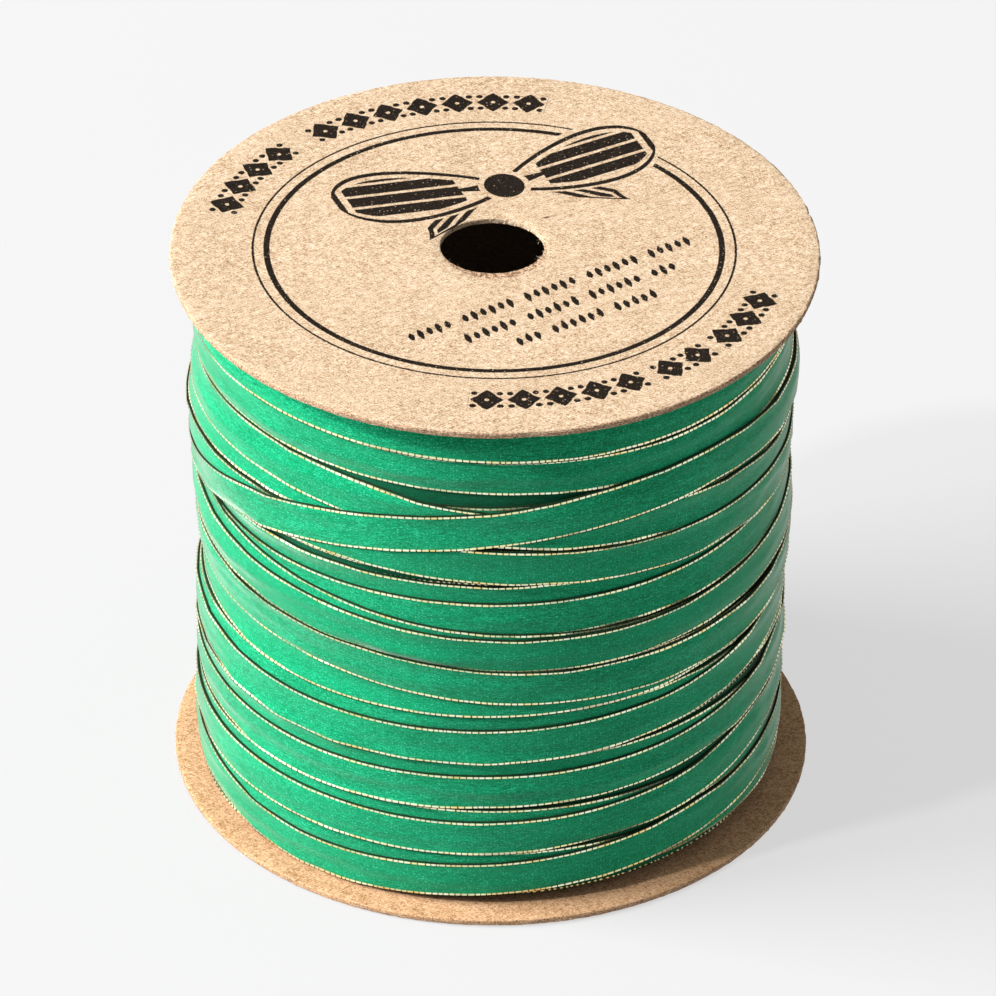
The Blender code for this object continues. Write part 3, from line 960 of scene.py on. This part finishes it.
def fuzz(name, rim, low, count, longest, inwards, rng):
    """Paper fibres torn loose along a cut edge, as one piece of thin three-sided hairs. rim is the edge: its
    middle's x and y, its radii along x and y, and the angles between which the fibres stand. low is the
    height of the lowest."""
    points, faces = [], []
    cx, cy, rx, ry, first_angle, last_angle = rim
    tilt = TOP_TILT if low > SPOOL_HEIGHT / 2 else 0
    for _ in range(count):
        angle = math.radians(rng.uniform(first_angle, last_angle))
        x, y = cx + rx * math.cos(angle), cy + ry * math.sin(angle)
        root = np.array([x, y, rng.uniform(low, low + FUZZ_DEPTH) + y * tilt])
        outward = np.array([math.cos(angle), math.sin(angle), 0.0]) * (-1 if inwards else 1)
        aside = np.array([-math.sin(angle), math.cos(angle), 0.0])
        direction = outward * rng.uniform(0.25, 1.0) + aside * rng.normal(0, 0.9) + UP * rng.normal(0, 0.3)
        direction /= np.linalg.norm(direction)
        bend = aside * rng.normal(0, 0.5) + UP * rng.normal(0, 0.4)
        length = longest * rng.uniform(0.25, 1.0) ** 2
        thick = rng.uniform(0.018, 0.035)
        first = len(points)
        for step, share in enumerate((1.0, 0.8, 0.55)):
            s = step / 3
            centre = root + direction * length * s + bend * length * 0.5 * s * s
            for side in range(3):
                a = math.tau * side / 3
                points.append(centre + thick * share * (aside * math.cos(a) + UP * math.sin(a)))
        points.append(root + direction * length + bend * length * 0.5)
        for step in range(2):
            for side in range(3):
                a, b = first + step * 3 + side, first + step * 3 + (side + 1) % 3
                faces.append((a, b, b + 3, a + 3))
        for side in range(3):
            faces.append((first + 6 + side, first + 6 + (side + 1) % 3, first + 9))
        faces.append((first + 2, first + 1, first))
    mesh = bpy.data.meshes.new(name)
    mesh.from_pydata([tuple(p * MM) for p in points], [], faces)
    mesh.update()
    return new_object(name, mesh)


def bottom_rim(angle):
    """The bottom board's rim is a little out of round."""
    return 0.12 * np.cos(angle - 1.0)


def add_flanges():
    """Both boards, and the fibres torn loose at their edges."""
    rng = np.random.default_rng(SEED + 1)
    top = flange_disc("top_board", INSIDE_TOP, top_warp, top_rim, TOP_HOLE, rng)
    finished(top, kraft("kraft_board_printed", PRINTED_WARMTH, printed=True), "spool")
    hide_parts("top_flange")
    bottom = flange_disc("bottom_board", 0.0, lambda x, y: 0 * x, bottom_rim, (0, 0, 0), rng)
    # its tint is partly painted shade of the winding above it
    finished(bottom, kraft("kraft_board_plain", PLAIN_WARMTH_AND_SHADE, printed=False), "spool")
    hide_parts("bottom_flange")
    fibre = paper_fibre()
    off_x, off_y, wider = TOP_HOLE
    hole = (off_x, off_y, HOLE_RADIUS * (1 + wider), HOLE_RADIUS * (1 - wider))
    outline = (0.0, 0.0, FLANGE_RADIUS, FLANGE_RADIUS)
    for name, rim, low, count, longest, inwards in (
        ("hole_fuzz_right", (*hole, -40.0, 30.0), INSIDE_TOP + 0.5, 34, 1.5, True),
        ("hole_fuzz_front", (*hole, -150.0, -40.0), INSIDE_TOP + 0.5, 16, 1.3, True),
        ("top_rim_fuzz", (*outline, 0.0, 360.0), INSIDE_TOP + 0.2, 420, 0.45, False),
        ("bottom_rim_fuzz", (*outline, 0.0, 360.0), 0.2, 300, 0.4, False),
    ):
        piece = fuzz(name, rim, low, count, longest, inwards, rng)
        finished(piece, fibre, "spool")


def finish_cad_nodes():
    """Better materials for the CAD nodes that stay."""
    for node, material in (
        ("core_tube", core_paper()),
        ("top_glue_bead", dried_glue()),
        ("bottom_glue_bead", bpy.data.materials["dried_glue"]),
        ("starter_tape", paper_tape()),
    ):
        obj = frame["nodes"][node]
        obj.data.materials.clear()
        obj.data.materials.append(material)


def buried_cotton_painted_shade():
    """The edges of the buried turns, packed side by side. Their near-black colour is painted shade of the
    hollow under the outer layers, painted darker still between the packed turns.
    """
    mat = Material("buried_cotton_painted_shade", Roughness=0.6)
    x, y, z = mat.place()
    far = (x * x + y * y).sqrt()
    # Painted shade: thin darker rings between the packed turns, and a near-black green all over
    layers = abs(far.repeated(0.3)).step(0.02, 0.12)
    tone = mat.noise((x, y, z), (1.5, 1.5, 0.2), detail=3.0)
    colour = mat.ramp(tone * 0.6 + layers * 0.2, (0.2, (0.001, 0.016, 0.008)), (0.6, (0.003, 0.070, 0.034)))
    mat.set(Base_Color=colour)
    mat.bump(tone, 0.05, strength=0.6)
    return mat.data


# ---------------------------------------------------------------- camera, light and floor

LENS = 372.2
CAMERA_ELEVATION = 34.10
CAMERA_DISTANCE = 1.635  # metres
CAMERA_ROLL = -0.476
CAMERA_PAN = 0.0321
CAMERA_TILT = -0.0046


def add_camera():
    data = bpy.data.cameras.new("camera")
    data.lens = LENS
    data.sensor_width = 36.0
    data.clip_end = 20.0
    camera = new_object("camera", data)
    up = math.radians(CAMERA_ELEVATION)
    back = Vector((0.0, -math.cos(up), math.sin(up)))
    right = Vector((1.0, 0.0, 0.0))
    facing = Matrix((right, back.cross(right), back))
    trim = (
        Matrix.Rotation(math.radians(CAMERA_ROLL), 3, "Z")
        @ Matrix.Rotation(math.radians(CAMERA_PAN), 3, "Y")
        @ Matrix.Rotation(math.radians(CAMERA_TILT), 3, "X")
    )
    rotation = (trim @ facing).transposed()
    place = Vector((0.0, 0.0, SPOOL_HEIGHT * MM / 2)) + back * CAMERA_DISTANCE
    camera.matrix_world = Matrix.Translation(place) @ rotation.to_4x4()
    bpy.context.scene.camera = camera


def area_light(name, azimuth, elevation, distance, size, power):
    """A square light turned to the spool, its distance and size in metres. Azimuth 0 is the front, and
    positive is towards the right."""
    data = bpy.data.lights.new(name, "AREA")
    data.size = size
    data.energy = power
    light = new_object(name, data)
    a, e = math.radians(azimuth), math.radians(elevation)
    towards = Vector((math.sin(a) * math.cos(e), -math.cos(a) * math.cos(e), math.sin(e)))
    light.location = Vector((0, 0, 0.05)) + towards * distance
    light.rotation_euler = towards.to_track_quat("Z", "Y").to_euler()
    return light


def add_studio():
    """A pale floor lit from the left by one fairly small light, with soft light from everywhere else."""
    area_light("key", -62.0, 44.0, 5.0, 0.28, 185.0)
    area_light("side_window", -88.0, 30.0, 4.0, 2.2, 545.0).visible_glossy = False
    area_light("left_card", -75.0, 10.0, 3.0, 2.6, 26.0).visible_diffuse = False
    area_light("right_card", 76.0, 10.0, 3.0, 2.6, 15.0)
    world = bpy.data.worlds.new("studio")
    world.use_nodes = True
    background = world.node_tree.nodes["Background"]
    background.inputs["Color"].default_value = (1.0, 1.0, 1.0, 1.0)
    background.inputs["Strength"].default_value = 0.42
    bpy.context.scene.world = world
    mesh = bpy.data.meshes.new("floor")
    side = 6.0  # metres, half the floor's
    corners = [(-side, -side, 0), (side, -side, 0), (side, side, 0), (-side, side, 0)]
    mesh.from_pydata(corners, [], [(0, 1, 2, 3)])
    floor = new_object("floor", mesh)
    floor.location.z = -0.05 * MM
    mat = Material("floor", Roughness=0.9, Emission_Strength=0.60)
    mat.shader.inputs["Base Color"].default_value = (0.119, 0.119, 0.119, 1.0)
    mat.shader.inputs["Emission Color"].default_value = (1.0, 1.0, 1.0, 1.0)
    floor.data.materials.append(mat.data)
    bpy.context.scene.view_settings.view_transform = "Standard"


add_camera()
add_flanges()
add_buried_turns()
add_ribbon()
finish_cad_nodes()
add_studio()
